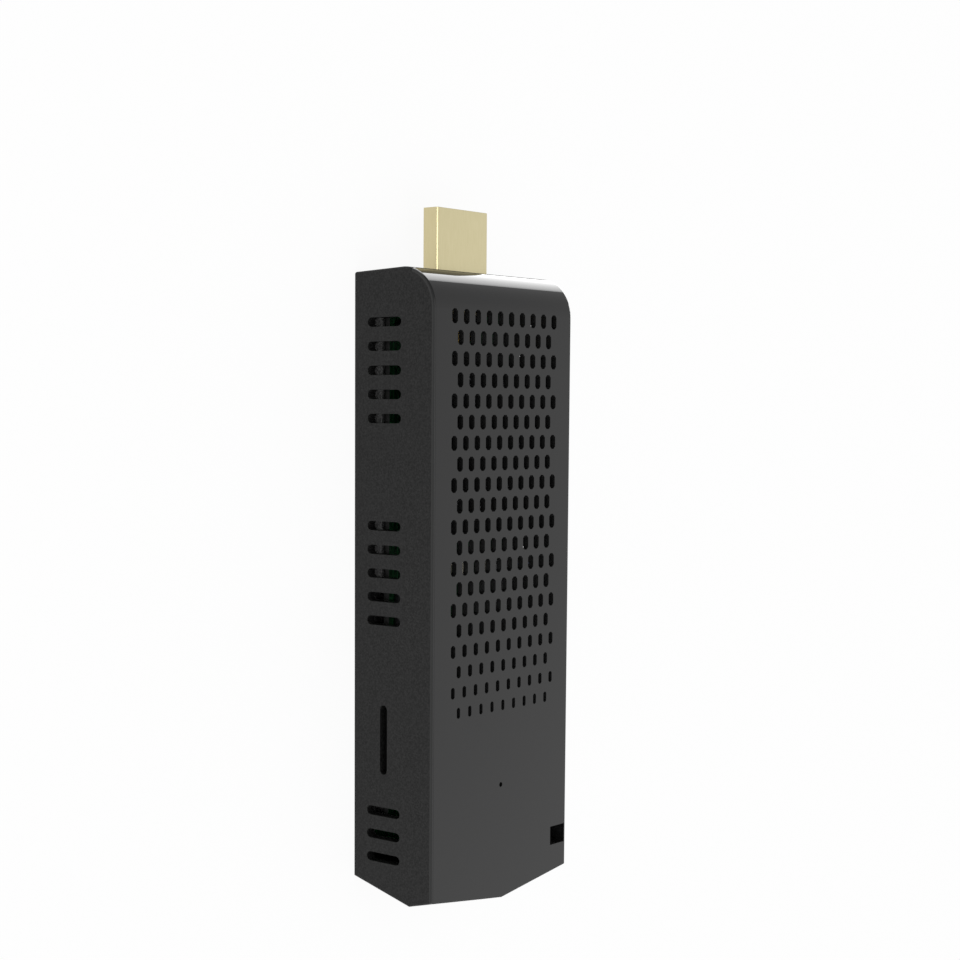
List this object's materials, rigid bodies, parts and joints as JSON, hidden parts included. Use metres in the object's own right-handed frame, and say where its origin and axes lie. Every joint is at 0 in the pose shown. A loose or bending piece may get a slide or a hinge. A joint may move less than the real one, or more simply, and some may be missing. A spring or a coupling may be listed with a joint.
{
  "type": "hdmi stick computer",
  "caption": "Stick computer with a pierced front cover, pointed end, gold plug, side vents, card slot, ports, power button and an inner board, heat sink and fan.",
  "frame": {"origin": "under the middle of the whole length, on the plane of the back cover", "axes": "+X along the stick towards the plug, +Y towards the card slot side, +Z out of the pierced front"},
  "size_m": [0.122, 0.038, 0.018],
  "materials": {
    "case_black": "moulded black with a fine spark texture",
    "cover_black": "moulded black, smooth satin",
    "pale_gold": "drawn steel, gold plated",
    "gold_contact": "stamped and gold plated",
    "black_insulator": "moulded insulator",
    "blue_insulator": "moulded insulator",
    "white_insulator": "moulded insulator",
    "board_green": "glass laminate under solder mask",
    "bright_steel": "stamped or turned, bright",
    "chip_black": "moulded chip package",
    "inductor_grey": "pressed iron powder",
    "capacitor_tan": "fired ceramic",
    "pad_grey": "soft filled silicone",
    "sink_alloy": "die cast, fins as cast",
    "fan_black": "moulded",
    "magnet_grey": "bonded ferrite",
    "winding_copper": "enamelled copper on a steel stack",
    "bearing_bronze": "sintered bronze",
    "lead_black": "insulated wire",
    "lamp_white": "chip lamp under clear resin",
    "clear_plastic": "clear moulded pipe",
    "button_black": "moulded, satin"
  },
  "bodies": {
    "case": {"rear_housing": "case_black", "front_cover": "cover_black", "hdmi_plug_shell": "pale_gold", "hdmi_plug_insert": "black_insulator", "hdmi_contacts": "gold_contact", "main_board": "board_green", "board_screws": "bright_steel", "processor": "chip_black", "memory_chips": "chip_black", "storage_chip": "chip_black", "power_controller": "chip_black", "power_inductors": "inductor_grey", "board_capacitors": "capacitor_tan", "clock_crystal": "bright_steel", "radio_module": "bright_steel", "thermal_pad": "pad_grey", "heat_sink": "sink_alloy", "sink_screws": "bright_steel", "fan_frame": "fan_black", "fan_screws": "bright_steel", "fan_bearing": "bearing_bronze", "fan_stator": "winding_copper", "fan_connector": "white_insulator", "fan_lead": "lead_black", "antenna_board": "board_green", "antenna_lead": "lead_black", "usb3_shell": "bright_steel", "usb3_tongue": "blue_insulator", "usb3_contacts": "gold_contact", "usb2_shell": "bright_steel", "usb2_tongue": "black_insulator", "usb2_contacts": "gold_contact", "power_port_shell": "bright_steel", "power_port_tongue": "black_insulator", "card_socket_shell": "bright_steel", "card_socket_base": "black_insulator", "card_contacts": "gold_contact", "button_switch": "black_insulator", "status_led": "lamp_white", "light_pipe": "clear_plastic"},
    "rotor": {"fan_rotor": "fan_black", "fan_magnet": "magnet_grey", "fan_shaft": "bright_steel"},
    "button": {"power_button": "button_black", "switch_plunger": "white_insulator"}
  },
  "joints": [
    {"name": "fan_spin", "type": "hinge", "parent": "case", "child": "rotor", "pos_m": [0.02, 0, 0.0135], "axis": [0, 0, 1], "continuous": true},
    {"name": "power_press", "type": "slide", "parent": "case", "child": "button", "axis": [0, 1, 0], "range_m": [0, 0.0003], "stiffness_N_per_m": 2000}
  ]
}
